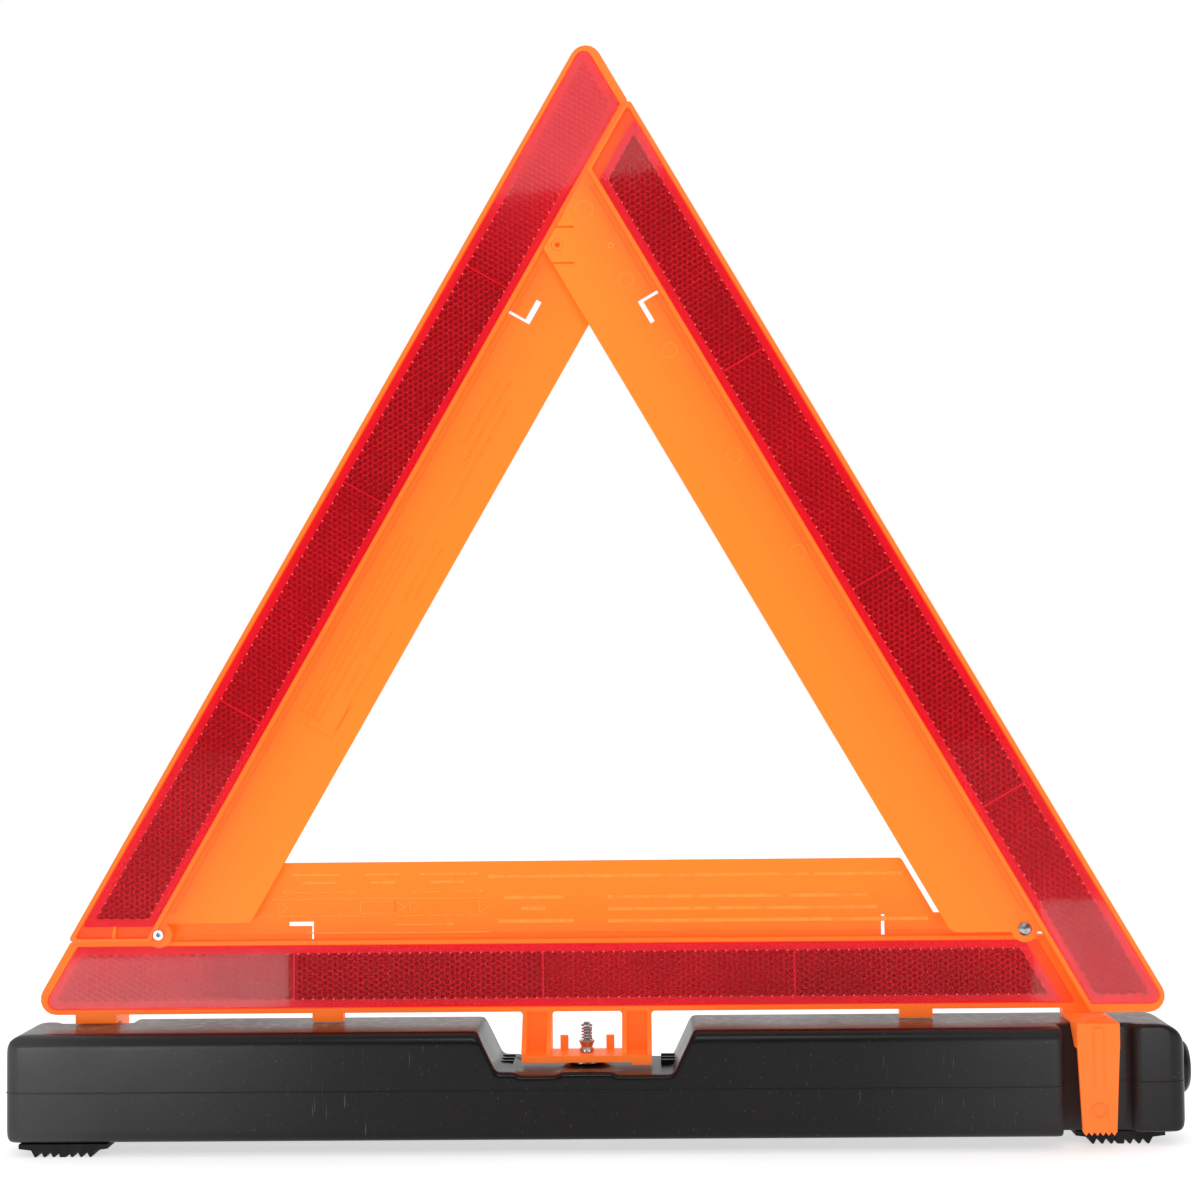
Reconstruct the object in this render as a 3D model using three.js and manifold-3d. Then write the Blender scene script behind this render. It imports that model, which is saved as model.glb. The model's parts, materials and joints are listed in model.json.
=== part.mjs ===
// A folding emergency warning triangle on a sand-weighted base.
//
// Millimetres, +Z up. The origin is on the ground at the bottom centre of the whole object. X runs along the
// base, and the front is the -Y side. The triangle is three bars in three layers along Y: the lower bar at the
// back, the left arm in the middle and the right arm in front, so that the arms fold down over the lower bar,
// one over the other. Each bar owns one corner of the triangle, and is drawn in a plane of its own: u runs
// along the outer edge from the corner that it owns, and v runs inwards.

import * as THREE from 'three';
import { mergeVertices } from 'three/addons/utils/BufferGeometryUtils.js';
import Module from 'manifold-3d';

const wasm = await Module();
wasm.setup();

// Triangle
const SIDE = 457.2;
const TRIANGLE_X = -2;
const TRIANGLE_BOTTOM = 51.5;
const LENS_BAND = 29;
const PANEL_BAND = 31;
const BAND = LENS_BAND + PANEL_BAND;
const CORNER_RADIUS = 6.4;
const BAR_GAP = 0.8;
const BAR_DEPTH = 6;
const LAYER_PITCH = 6.6;
const WEB = 1.6;
const GAP = 0.3;
const ROOT3 = Math.sqrt(3);
const BAR_LENGTH = SIDE - (2 * (LENS_BAND + BAR_GAP)) / ROOT3;

// Rims round the pockets that hold the lenses: outer edge, inner edge, owned corner, far end
const RIM = { outer: 1.8, inner: 1.7, corner: 3.2, far: 1.2 };
const LENS_FAR_INSET = 5.8;
const LENS_FACE = 2.9;
const LENS_BACK = 1.1;
const END_LIP = 2.2;
const GROOVE_WIDTH = 2.4;
const GROOVE_DEPTH = 0.4;

// Fold pivots, as [u, v] on each bar, and the latch near the apex
const LEFT_PIVOT = { onLower: [53.6, 32.3], onArm: [402.4, 30.3] };
const RIGHT_PIVOT = { onLower: [398.6, 32.7], onArm: [57.6, 34.4] };
const LUG_RADIUS = 5.3;
const BOSS_RADIUS = 4;
const RIVET_HOLE = 1.8;
const RIVET_SHANK = 1.4;
const RIVET_HEAD = 2.1;
const LATCH_ON_LEFT = [82.6, 33.9];
const LATCH_ON_RIGHT = [386.5, 54.6];
const LATCH_PIN_RADIUS = 1.7;
const LATCH_RING = { outer: 2.4, hole: 1.1, height: 0.5 };
const TONGUE_HALF = 7.3;
const SLIT_WIDTH = 0.7;

// Yoke, legs and rest tabs of the lower bar, in X from the turn axis
const TURN_X = -5.6;
const YOKE = { left: -25.7, right: 25.9, front: -9, bottom: 33.2, top: 35.8, postWidth: 11.8, wall: 1.9 };
const STOP_TAB = { left: 18, right: 25.9, bottom: 32.2 };
const LEG = { middle: 198, half: 8.2, footHalf: 6.5, front: -26.5, top: 49.7, bottom: 6.8, shelf: 1.7 };
const LEG_TEETH = 6;
const REST_TABS = [[-110.4, -98], [125.2, 138.2]];
const UNDERSIDE = 48;

// Base
const OVERALL_HALF = 233;
const PLUG_PROUD = 3.8;
const BASE = { left: -OVERALL_HALF, right: OVERALL_HALF - PLUG_PROUD, half: 24, bottom: 5.3, top: 47.4 };
const NOTCH = { topHalf: 42.2, bottomHalf: 34.2, floor: 30.6, ridge: 31.9 };
const RIDGE = { right: 11.5, left: -10.5, end: -26.5, ramp: 0.8 };
const RECESS = { inner: 185, outer: 213.5, depth: 14, block: 10 };
const SHELL_WALL = 2.5;
const SAND_LEVEL = 40;
const BOSS = { radius: 8, top: 31.9 };
const TUBE_RADIUS = 6;
const BOLT_HOLE = 1.9;
const BOLT_POCKET = { radius: 7, top: 14 };
const FILLER = { y: 5, z: 28, radius: 9 };
const LEFT_FOOT_X = TURN_X - 222;
const RIGHT_FOOT_X = TURN_X + 192;
const FOOT_Y = 22;
const FOOT = { width: 35, depth: 30, top: 5, root: 3.2, teeth: 7, pitch: 3.6, land: 0.7, wideLand: 2.6 };

const PAINT = {
  orange: { color: 0xfc8a24, roughness: 0.42, metalness: 0 },
  red: { color: 0xc8102e, roughness: 0.12, metalness: 0 },
  black: { color: 0x201f21, roughness: 0.5, metalness: 0 },
  rubber: { color: 0x1a1a1b, roughness: 0.85, metalness: 0 },
  sand: { color: 0xb9a27c, roughness: 1, metalness: 0 },
  steel: { color: 0xc4c6c9, roughness: 0.25, metalness: 1 },
};

// Turning geometry into solids, joining and cutting, and back again

function solid(geometry) {
  const bare = geometry.clone();
  bare.deleteAttribute('normal');
  bare.deleteAttribute('uv');
  const welded = mergeVertices(bare, 1e-3);
  return new wasm.Manifold(new wasm.Mesh({
    numProp: 3,
    vertProperties: new Float32Array(welded.attributes.position.array),
    triVerts: new Uint32Array(welded.index.array),
  }));
}

function join(...geometries) {
  return geometries.map(solid).reduce((whole, next) => whole.add(next));
}

function cut(body, ...geometries) {
  return geometries.map(solid).reduce((rest, next) => rest.subtract(next), body);
}

function toGeometry(body) {
  const mesh = body.getMesh();
  const geometry = new THREE.BufferGeometry();
  geometry.setAttribute('position', new THREE.BufferAttribute(new Float32Array(mesh.vertProperties), 3));
  geometry.setIndex(new THREE.BufferAttribute(new Uint32Array(mesh.triVerts), 1));
  geometry.computeVertexNormals();
  return geometry;
}

function part(name, shape, paint) {
  const geometry = shape instanceof THREE.BufferGeometry ? shape : toGeometry(shape);
  const mesh = new THREE.Mesh(geometry, new THREE.MeshStandardMaterial(PAINT[paint]));
  mesh.name = name;
  return mesh;
}

// Outlines and the simple bodies made from them

// A closed outline through [x, y, corner radius] points, anticlockwise
function outline(corners) {
  const shape = new THREE.Shape();
  corners.forEach(([x, y, radius = 0], i) => {
    const here = new THREE.Vector2(x, y);
    const before = corners[(i + corners.length - 1) % corners.length];
    const after = corners[(i + 1) % corners.length];
    const toBefore = new THREE.Vector2(before[0], before[1]).sub(here).normalize();
    const toAfter = new THREE.Vector2(after[0], after[1]).sub(here).normalize();
    if (radius === 0) {
      if (i === 0) shape.moveTo(x, y);
      else shape.lineTo(x, y);
      return;
    }
    const half = Math.acos(toBefore.dot(toAfter)) / 2;
    const reach = radius / Math.tan(half);
    const middle = toBefore.clone().add(toAfter).normalize().multiplyScalar(radius / Math.sin(half)).add(here);
    const start = toBefore.clone().multiplyScalar(reach).add(here).sub(middle);
    const end = toAfter.clone().multiplyScalar(reach).add(here).sub(middle);
    const clockwise = toBefore.cross(toAfter) > 0;
    shape.absarc(middle.x, middle.y, radius, start.angle(), end.angle(), clockwise);
  });
  return shape;
}

function extrude(shape, depth, curveSegments = 2) {
  return new THREE.ExtrudeGeometry(shape, { depth, curveSegments, bevelEnabled: false });
}

// Outline in X and Z, thickness along Y
function upright(shape, front, back, curveSegments) {
  return extrude(shape, back - front, curveSegments).rotateX(Math.PI / 2).translate(0, back, 0);
}

// Outline in X and Y, thickness along Z
function level(shape, bottom, top, curveSegments) {
  return extrude(shape, top - bottom, curveSegments).translate(0, 0, bottom);
}

// Outline in Y and Z, thickness along X
function across(shape, left, right, curveSegments) {
  return extrude(shape, right - left, curveSegments).rotateX(Math.PI / 2).rotateZ(Math.PI / 2)
    .translate(left, 0, 0);
}

function block([x0, x1], [y0, y1], [z0, z1]) {
  return new THREE.BoxGeometry(x1 - x0, y1 - y0, z1 - z0)
    .translate((x0 + x1) / 2, (y0 + y1) / 2, (z0 + z1) / 2);
}

// A round rod along Y, at [x, z]
function rodAlongY([x, z], radius, front, back, sides = 16) {
  return new THREE.CylinderGeometry(radius, radius, back - front, sides).translate(x, (front + back) / 2, z);
}

// A round rod along Z, on the turn axis
function rodOnTurnAxis(radius, bottom, top, sides = 24) {
  return new THREE.CylinderGeometry(radius, radius, top - bottom, sides).rotateX(Math.PI / 2)
    .translate(TURN_X, 0, (bottom + top) / 2);
}

// A turned body from a closed list of [radius, height] points, anticlockwise, standing along Y
function turned(profile, sides = 18) {
  const points = [...profile, profile[0]].map(([radius, height]) => new THREE.Vector2(radius, height));
  return new THREE.LatheGeometry(points, sides);
}

function turnedOnTurnAxis(profile, sides) {
  return turned(profile, sides).rotateX(Math.PI / 2).translate(TURN_X, 0, 0);
}

// Bars

// The lens band of a bar, drawn in from its outer edge, inner edge, owned corner and far end
function lensOutline(inset, radii) {
  const low = inset.outer;
  const high = LENS_BAND - inset.inner;
  const near = (v) => (v + 2 * inset.corner) / ROOT3;
  const far = (v) => BAR_LENGTH - (v + 2 * inset.far) / ROOT3;
  return outline([
    [near(low), low, radii.corner],
    [far(low), low, radii.far],
    [far(high), high, radii.inner],
    [near(high), high, radii.inner],
  ]);
}

function lensBlock() {
  const none = { outer: 0, inner: 0, corner: 0, far: 0 };
  const shape = lensOutline(none, { corner: CORNER_RADIUS, far: 1.5, inner: 1 });
  return upright(shape, -BAR_DEPTH / 2, BAR_DEPTH / 2, 3);
}

function lensPockets() {
  const shape = lensOutline(RIM, { corner: 3.5, far: 1, inner: 1 });
  return [upright(shape, -BAR_DEPTH, -WEB / 2), upright(shape, WEB / 2, BAR_DEPTH)];
}

function lens(front, back) {
  const inset = {
    outer: RIM.outer + GAP,
    inner: RIM.inner + GAP,
    corner: RIM.corner + GAP,
    far: LENS_FAR_INSET,
  };
  return upright(lensOutline(inset, { corner: 3, far: 1, inner: 1 }), front, back);
}

// Shallow grooves between the lens rim and the panel, on both faces
function panelGrooves(from, to) {
  const band = [LENS_BAND, LENS_BAND + GROOVE_WIDTH];
  return [-1, 1].map((side) => {
    const faces = [side * WEB / 2, side * (WEB / 2 - GROOVE_DEPTH)].sort((a, b) => a - b);
    const reach = side < 0 ? [faces[0] - 1, faces[1]] : [faces[0], faces[1] + 1];
    return block([from, to], reach, band);
  });
}

// A gap cut through a panel, from [u, v] to [u, v]
function slot([u0, v0], [u1, v1]) {
  return block([u0, u1], [-BAR_DEPTH, BAR_DEPTH], [v0, v1]);
}

// A bar's moulding: its lens band, its panel, and a lug and boss at each pivot, less pockets, grooves and holes
function barMoulding(panelCorners, grooveSpan, lugs, bosses, extras, cuts) {
  const panel = upright(outline(panelCorners), -WEB / 2, WEB / 2);
  const lugDiscs = lugs.map((centre) => rodAlongY(centre, LUG_RADIUS, -WEB / 2, WEB / 2));
  const bossRods = bosses.map(({ centre, span }) => rodAlongY(centre, BOSS_RADIUS, span[0], span[1]));
  const whole = join(lensBlock(), panel);
  const grooved = cut(whole, ...panelGrooves(grooveSpan[0], grooveSpan[1]));
  const built = [...lugDiscs, ...bossRods, ...extras].map(solid).reduce((all, next) => all.add(next), grooved);
  const holes = lugs.map((centre) => rodAlongY(centre, RIVET_HOLE, -3 * BAR_DEPTH, BAR_DEPTH));
  return cut(built, ...lensPockets(), ...holes, ...cuts);
}

const BOSS_END = BAR_DEPTH / 2 + GAP / 2;
const PANEL_START = LENS_BAND - 1;

function leftArmMoulding() {
  const panel = [[67, PANEL_START], [398.6, PANEL_START], [380.1, BAND, 2], [85.5, BAND, 2]];
  const boss = { centre: LEFT_PIVOT.onArm, span: [0, BOSS_END] };
  const pin = rodAlongY(LATCH_ON_LEFT, LATCH_PIN_RADIUS, -LAYER_PITCH + WEB / 2 + GAP + 2.2, 0);
  const hook = [slot([105, 36.5], [115.4, 39]), slot([114.2, LENS_BAND + 0.3], [115.4, 37])];
  const headRoom = rodAlongY(LEFT_PIVOT.onArm, RIVET_HEAD + GAP, -BAR_DEPTH, -WEB / 2);
  return barMoulding(panel, [92, 392], [LEFT_PIVOT.onArm], [boss], [pin], [...hook, headRoom]);
}

function rightArmMoulding() {
  const panel = [[52.5, PANEL_START], [406.6, PANEL_START], [388.2, BAND, 1], [71, BAND, 5]];
  const boss = { centre: RIGHT_PIVOT.onArm, span: [0, BOSS_END] };
  const [u, v] = LATCH_ON_RIGHT;
  const ring = rodAlongY([u, v], LATCH_RING.outer, -WEB / 2 - LATCH_RING.height, 0);
  const ringHole = rodAlongY([u, v], LATCH_RING.hole, -BAR_DEPTH, BAR_DEPTH, 12);
  const slitLength = 12;
  const slits = [-TONGUE_HALF, TONGUE_HALF].map((height) => block(
    [-slitLength + 6.6, 6.6],
    [-BAR_DEPTH, BAR_DEPTH],
    [height - SLIT_WIDTH / 2, height + SLIT_WIDTH / 2],
  ).rotateY((2 * Math.PI) / 3).translate(u, 0, v));
  const hook = [slot([340, 36.6], [350.4, 38.6]), slot([349, LENS_BAND + 0.6], [350.4, 37])];
  return barMoulding(panel, [64, 400], [RIGHT_PIVOT.onArm], [boss], [ring], [ringHole, ...slits, ...hook]);
}

// Yoke, legs and rest tabs are drawn from the turn axis, and moved to the lower bar's own plane

function yoke() {
  const barBack = LAYER_PITCH + BAR_DEPTH / 2;
  const barFront = LAYER_PITCH - BAR_DEPTH / 2;
  const joinHeight = TRIANGLE_BOTTOM + 0.8;
  const gusset = outline([
    [YOKE.front, YOKE.bottom],
    [barBack, YOKE.bottom],
    [barBack, joinHeight],
    [barFront, joinHeight],
    [barFront, TRIANGLE_BOTTOM],
    [YOKE.front, YOKE.top + 1.5],
  ]);
  const posts = [YOKE.left, YOKE.right - YOKE.postWidth].flatMap((left) => [
    across(gusset, left, left + YOKE.wall),
    across(gusset, left + YOKE.postWidth - YOKE.wall, left + YOKE.postWidth),
    block([left, left + YOKE.postWidth], [barBack - 3, barBack - 1.4], [YOKE.bottom, joinHeight]),
  ]);
  const innerLugs = [-10.9, 7.6].map((left) => block([left, left + 3.2], [7.4, barBack], [YOKE.bottom, 41.3]));
  return [
    block([YOKE.left, YOKE.right], [YOKE.front, barBack], [YOKE.bottom, YOKE.top]),
    block([STOP_TAB.left, STOP_TAB.right], [YOKE.front, YOKE.front + 2], [STOP_TAB.bottom, YOKE.top]),
    ...posts,
    ...innerLugs,
  ];
}

// The leg's plate, which narrows to a toothed foot
function legPlate() {
  const pitch = (2 * LEG.footHalf) / LEG_TEETH;
  const teeth = Array.from({ length: LEG_TEETH }, (_, i) => {
    const left = LEG.middle - LEG.footHalf + i * pitch;
    return [[left, LEG.bottom + 1.5], [left + pitch / 2, LEG.bottom]];
  }).flat();
  return outline([
    [LEG.middle - LEG.half, LEG.top],
    [LEG.middle - LEG.half, 43],
    ...teeth,
    [LEG.middle + LEG.footHalf, LEG.bottom + 1.5],
    [LEG.middle + LEG.half, 43],
    [LEG.middle + LEG.half, LEG.top],
  ]);
}

// One leg, from its foot at the front of the base back to a riser under the bar that starts at riserFront
function leg(riserFront) {
  const sides = [LEG.middle - LEG.half, LEG.middle + LEG.half];
  const riserBack = riserFront + BAR_DEPTH;
  const cheek = outline([
    [LEG.front, 40],
    [-20, 40],
    [-12, UNDERSIDE],
    [riserBack, UNDERSIDE],
    [riserBack, LEG.top],
    [LEG.front, LEG.top],
  ]);
  return [
    upright(legPlate(), LEG.front, LEG.front + 1.9),
    block([LEG.middle - 2, LEG.middle + 2], [LEG.front, LEG.front + 7], [14, LEG.top]),
    across(cheek, sides[0], sides[0] + 1.8),
    across(cheek, sides[1] - 1.8, sides[1]),
    block(sides, [LEG.front, riserBack], [LEG.top - LEG.shelf, LEG.top]),
    block(sides, [riserFront, riserBack], [LEG.top - LEG.shelf, TRIANGLE_BOTTOM + 0.8]),
  ];
}

// Moves geometry drawn from the turn axis at ground level into the lower bar's own plane
function toLowerBar(piece) {
  return piece.translate(SIDE / 2 - TRIANGLE_X, -LAYER_PITCH, -TRIANGLE_BOTTOM);
}

function lowerBarFittings() {
  const barFront = LAYER_PITCH - BAR_DEPTH / 2;
  const barBack = LAYER_PITCH + BAR_DEPTH / 2;
  const rests = REST_TABS.map((span) => block(span, [barFront, barBack], [UNDERSIDE, TRIANGLE_BOTTOM + 0.8]));
  const rightLeg = leg(barFront);
  const leftLeg = leg(-barBack).map((piece) => piece.rotateZ(Math.PI));
  return [...yoke(), ...rightLeg, ...leftLeg, ...rests]
    .map((piece) => toLowerBar(piece.translate(TURN_X, 0, 0)));
}

function lowerBarMoulding() {
  const panel = [
    [50, PANEL_START],
    [398.6, PANEL_START],
    [398.6, 38],
    [364.5, 38, 0.8],
    [351.8, BAND, 1.5],
    [69, BAND, 1],
  ];
  const bosses = [
    { centre: LEFT_PIVOT.onLower, span: [-BOSS_END, 0] },
    { centre: RIGHT_PIVOT.onLower, span: [-LAYER_PITCH - BOSS_END, 0] },
  ];
  const hooks = [
    slot([105, 34.6], [115, 36.4]),
    slot([114.2, LENS_BAND + 0.3], [115, 35]),
    slot([343.4, LENS_BAND + 0.3], [344.8, 37.5]),
  ];
  const end = (v) => BAR_LENGTH - v / ROOT3;
  const endLip = upright(outline([
    [end(0) - 1, 0],
    [end(0) + END_LIP, 0],
    [end(LENS_BAND) + END_LIP, LENS_BAND],
    [end(LENS_BAND) - 1, LENS_BAND],
  ]), -BAR_DEPTH / 2, BAR_DEPTH / 2);
  const yokeHole = toLowerBar(rodOnTurnAxis(BOLT_HOLE, YOKE.bottom - 1, YOKE.top + 1));
  const lugs = [LEFT_PIVOT.onLower, RIGHT_PIVOT.onLower];
  return barMoulding(panel, [62, 388], lugs, bosses, [...lowerBarFittings(), endLip], [...hooks, yokeHole]);
}

// Base

// The base seen from above, drawn in by inset: a recess for a leg at the front right and the back left
function basePlan(inset) {
  const { left, right, half } = BASE;
  const radius = (r) => Math.max(r - inset, 0.5);
  const inner = RECESS.inner - inset;
  const outer = RECESS.outer + inset;
  const side = half - inset;
  const floor = half - RECESS.depth - inset;
  const set = half - RECESS.block - inset;
  return outline([
    [left + inset, -side, radius(5)],
    [TURN_X + inner, -side, radius(2)],
    [TURN_X + inner, -floor, 1],
    [TURN_X + outer, -floor, 1],
    [TURN_X + outer, -set, radius(3)],
    [right - inset, -set, radius(6)],
    [right - inset, side, radius(5)],
    [TURN_X - inner, side, radius(2)],
    [TURN_X - inner, floor, 1],
    [TURN_X - outer, floor, 1],
    [TURN_X - outer, set, radius(3)],
    [left + inset, set, radius(6)],
  ]);
}

// The base seen from the front, with its waist; the outside has ridges across the waist's floor
function baseFront(inset, top, waist) {
  const low = BASE.bottom + inset;
  const radius = (r) => Math.max(r - inset, 0.5);
  const slant = 1.2 * inset;
  return outline([
    [BASE.left + inset, low, radius(4)],
    [BASE.right - inset, low, radius(4)],
    [BASE.right - inset, top, radius(10)],
    [TURN_X + NOTCH.topHalf + slant, top, 1],
    [TURN_X + NOTCH.bottomHalf + slant, NOTCH.floor - inset],
    ...waist,
    [TURN_X - NOTCH.bottomHalf - slant, NOTCH.floor - inset],
    [TURN_X - NOTCH.topHalf - slant, top, 1],
    [BASE.left + inset, top, radius(7)],
  ]);
}

function waistRidges() {
  const { right, left, end, ramp } = RIDGE;
  return [
    [TURN_X + right, NOTCH.floor],
    [TURN_X + right - ramp, NOTCH.ridge],
    [TURN_X + left + ramp, NOTCH.ridge],
    [TURN_X + left, NOTCH.floor],
    [TURN_X + end, NOTCH.floor],
    [TURN_X + end - ramp, NOTCH.ridge],
    [TURN_X - NOTCH.bottomHalf - 0.6, NOTCH.ridge],
  ];
}

// The space inside the walls, round the bolt's tube and its pocket
function hollow(inset, top) {
  const extra = inset - SHELL_WALL;
  const space = solid(upright(baseFront(inset, top, []), -BASE.half, BASE.half))
    .intersect(solid(level(basePlan(inset), BASE.bottom, BASE.top)));
  return cut(
    space,
    rodOnTurnAxis(TUBE_RADIUS + extra, 0, BASE.top),
    rodOnTurnAxis(BOLT_POCKET.radius + SHELL_WALL + extra, 0, BOLT_POCKET.top + SHELL_WALL + extra),
  );
}

function baseShell() {
  const section = outline([
    [-BASE.half, BASE.bottom, 3.5],
    [BASE.half, BASE.bottom, 3.5],
    [BASE.half, BASE.top, 4],
    [-BASE.half, BASE.top, 4],
  ]);
  const outside = solid(upright(baseFront(0, BASE.top, waistRidges()), -BASE.half, BASE.half))
    .intersect(solid(level(basePlan(0), BASE.bottom - 1, BASE.top + 1)))
    .intersect(solid(across(section, BASE.left - 1, BASE.right + 1)));
  const bearingPocket = block([TURN_X - 29, TURN_X + 29], [-14, 14], [NOTCH.floor, BASE.top]);
  const boss = solid(rodOnTurnAxis(BOSS.radius, NOTCH.floor - 1, BOSS.top));
  const closed = cut(outside, bearingPocket).add(boss).subtract(hollow(SHELL_WALL, BASE.top - SHELL_WALL));
  const fillerHole = new THREE.CylinderGeometry(FILLER.radius, FILLER.radius, 10, 28)
    .rotateZ(Math.PI / 2).translate(BASE.right, FILLER.y, FILLER.z);
  return cut(
    closed,
    rodOnTurnAxis(BOLT_HOLE, 0, BASE.top),
    rodOnTurnAxis(BOLT_POCKET.radius, 0, BOLT_POCKET.top),
    fillerHole,
  );
}

function fillerPlug() {
  const shank = FILLER.radius - 0.4;
  const flange = FILLER.radius + 1.6;
  const profile = [[0, -2.3], [shank, -2.3], [shank, GAP], [flange, GAP], [flange, 2.2], [flange - 1.6, PLUG_PROUD],
    [0, PLUG_PROUD]];
  const points = profile.map(([radius, height]) => new THREE.Vector2(radius, height));
  return new THREE.LatheGeometry(points, 28).rotateZ(-Math.PI / 2).translate(BASE.right, FILLER.y, FILLER.z);
}

// A pad with saw teeth; the middle tooth has the wide land on which the base rests
function foot(left, front) {
  const firstTooth = left + (FOOT.width - (FOOT.teeth - 1) * FOOT.pitch) / 2;
  const middleTooth = (FOOT.teeth - 1) / 2;
  const teeth = Array.from({ length: FOOT.teeth }, (_, i) => {
    const x = firstTooth + i * FOOT.pitch;
    const half = (i === middleTooth ? FOOT.wideLand : FOOT.land) / 2;
    return [[x - FOOT.pitch / 2, FOOT.root - 0.6], [x - half, 0], [x + half, 0]];
  }).flat();
  const lastValley = firstTooth + (FOOT.teeth - 0.5) * FOOT.pitch;
  const shape = outline([
    [left, FOOT.top],
    [left, FOOT.root],
    ...teeth,
    [lastValley, FOOT.root - 0.6],
    [left + FOOT.width, FOOT.root],
    [left + FOOT.width, FOOT.top],
  ]);
  return upright(shape, front, front + FOOT.depth);
}

// Turn axis: bolt up through the waist, washers, cup, spring and cap

function springCoil(bottom, top) {
  const turns = 4;
  const stepsPerTurn = 10;
  const meanRadius = 1.95;
  const wireRadius = 0.35;
  class Helix extends THREE.Curve {
    getPoint(t, target = new THREE.Vector3()) {
      const angle = t * turns * 2 * Math.PI;
      const height = bottom + wireRadius + t * (top - bottom - 2 * wireRadius);
      return target.set(TURN_X + meanRadius * Math.cos(angle), meanRadius * Math.sin(angle), height);
    }
  }
  const wire = new THREE.Shape();
  wire.absarc(0, 0, wireRadius, 0, 2 * Math.PI, false);
  return new THREE.ExtrudeGeometry(wire, {
    steps: turns * stepsPerTurn,
    extrudePath: new Helix(),
    curveSegments: 3,
    bevelEnabled: false,
  });
}

function ring(inner, outer, bottom, top) {
  return turnedOnTurnAxis([[inner, bottom], [outer, bottom], [outer, top], [inner, top]]);
}

function turnAxisParts() {
  const boltTop = 47.8;
  const bolt = turnedOnTurnAxis([[0.3, 9.5], [3.6, 9.5], [3.6, 12.6], [1.3, 12.6], [1.3, boltTop], [0.3, boltTop]]);
  const cup = turnedOnTurnAxis([[1.7, 36.1], [2.9, 36.1], [2.9, 37.4], [2.2, 38], [3.3, 40.6], [1.7, 40.6]]);
  return [
    part('pivot_bolt', bolt, 'steel'),
    part('bolt_washer', ring(1.7, 5.4, 12.9, 13.7), 'steel'),
    part('yoke_washer', ring(2, 7.4, BOSS.top + GAP, YOKE.bottom - GAP), 'steel'),
    part('spring_cup', cup, 'steel'),
    part('pivot_spring', springCoil(40.9, 46), 'steel'),
    part('spring_cap', ring(1.6, 2.4, 46.3, 46.9), 'steel'),
  ];
}

// Rivets through the arms and the lower bar

const REAR_FACE = LAYER_PITCH + WEB / 2;

function hollowRivet([x, z], front) {
  const bore = 0.8;
  const rear = REAR_FACE + 2 * GAP + 0.6;
  return turned([
    [bore, front - 1],
    [RIVET_HEAD, front - 1],
    [RIVET_HEAD, front],
    [RIVET_SHANK, front],
    [RIVET_SHANK, rear],
    [2.5, rear],
    [2.5, rear + 0.8],
    [bore, rear + 0.8],
  ]).translate(x, 0, z);
}

function domedRivet([x, z], front) {
  const rear = REAR_FACE + 2 * GAP + 0.6;
  const dome = [[1, front - 1.5], [2, front - 1.2], [2.6, front - 0.7], [2.8, front]];
  return turned([
    [0.2, front - 1.6],
    ...dome,
    [RIVET_SHANK, front],
    [RIVET_SHANK, rear],
    [2.5, rear],
    [2.5, rear + 0.8],
    [0.2, rear + 0.8],
  ]).translate(x, 0, z);
}

function rivetWasher([x, z]) {
  const front = REAR_FACE + GAP;
  return turned([[1.7, front], [2.9, front], [2.9, front + 0.6], [1.7, front + 0.6]]).translate(x, 0, z);
}

// A bar as a group in its own plane: cornerX and cornerZ place the corner it owns, degrees turns u from +X
function bar(name, moulding, cornerX, cornerZ, degrees, layer) {
  const group = new THREE.Group();
  group.add(part(`${name}_frame`, moulding, 'orange'));
  group.add(part(`${name}_lens_front`, lens(-LENS_FACE, -LENS_BACK), 'red'));
  group.add(part(`${name}_lens_back`, lens(LENS_BACK, LENS_FACE), 'red'));
  group.position.set(cornerX, layer, cornerZ);
  group.rotation.y = THREE.MathUtils.degToRad(-degrees);
  return group;
}

const object = new THREE.Group();

const leftCorner = TRIANGLE_X - SIDE / 2;
const rightCorner = TRIANGLE_X + SIDE / 2;
const apexHeight = TRIANGLE_BOTTOM + (SIDE * ROOT3) / 2;
object.add(bar('lower_bar', lowerBarMoulding(), leftCorner, TRIANGLE_BOTTOM, 0, LAYER_PITCH));
object.add(bar('left_arm', leftArmMoulding(), TRIANGLE_X, apexHeight, 240, 0));
object.add(bar('right_arm', rightArmMoulding(), rightCorner, TRIANGLE_BOTTOM, 120, -LAYER_PITCH));

const leftRivetPlace = [leftCorner + LEFT_PIVOT.onLower[0], TRIANGLE_BOTTOM + LEFT_PIVOT.onLower[1]];
const rightRivetPlace = [leftCorner + RIGHT_PIVOT.onLower[0], TRIANGLE_BOTTOM + RIGHT_PIVOT.onLower[1]];
object.add(part('left_pivot_rivet', hollowRivet(leftRivetPlace, -WEB / 2 - GAP), 'steel'));
object.add(part('right_pivot_rivet', domedRivet(rightRivetPlace, -LAYER_PITCH - WEB / 2 - GAP), 'steel'));
object.add(part('left_rivet_washer', rivetWasher(leftRivetPlace), 'steel'));
object.add(part('right_rivet_washer', rivetWasher(rightRivetPlace), 'steel'));

object.add(part('base_shell', baseShell(), 'black'));
object.add(part('sand_ballast', hollow(SHELL_WALL + GAP, SAND_LEVEL), 'sand'));
object.add(part('filler_plug', fillerPlug(), 'black'));
object.add(part('base_foot_left', foot(LEFT_FOOT_X, -FOOT_Y), 'rubber'));
object.add(part('base_foot_right', foot(RIGHT_FOOT_X, FOOT_Y - FOOT.depth), 'rubber'));
object.add(...turnAxisParts());

export default object;
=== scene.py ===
"""A folding warning triangle on a sand-weighted base, dressed over its CAD frame.

Shapes are drawn in millimetres and turned into metres as they become meshes. Each bar of the triangle has a
plane of its own: u runs along its outer edge from the corner that it owns, v runs inwards, and y is its
thickness.
"""

import json
import math
import random

import bmesh
import bpy
from mathutils import Matrix, Vector

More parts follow.
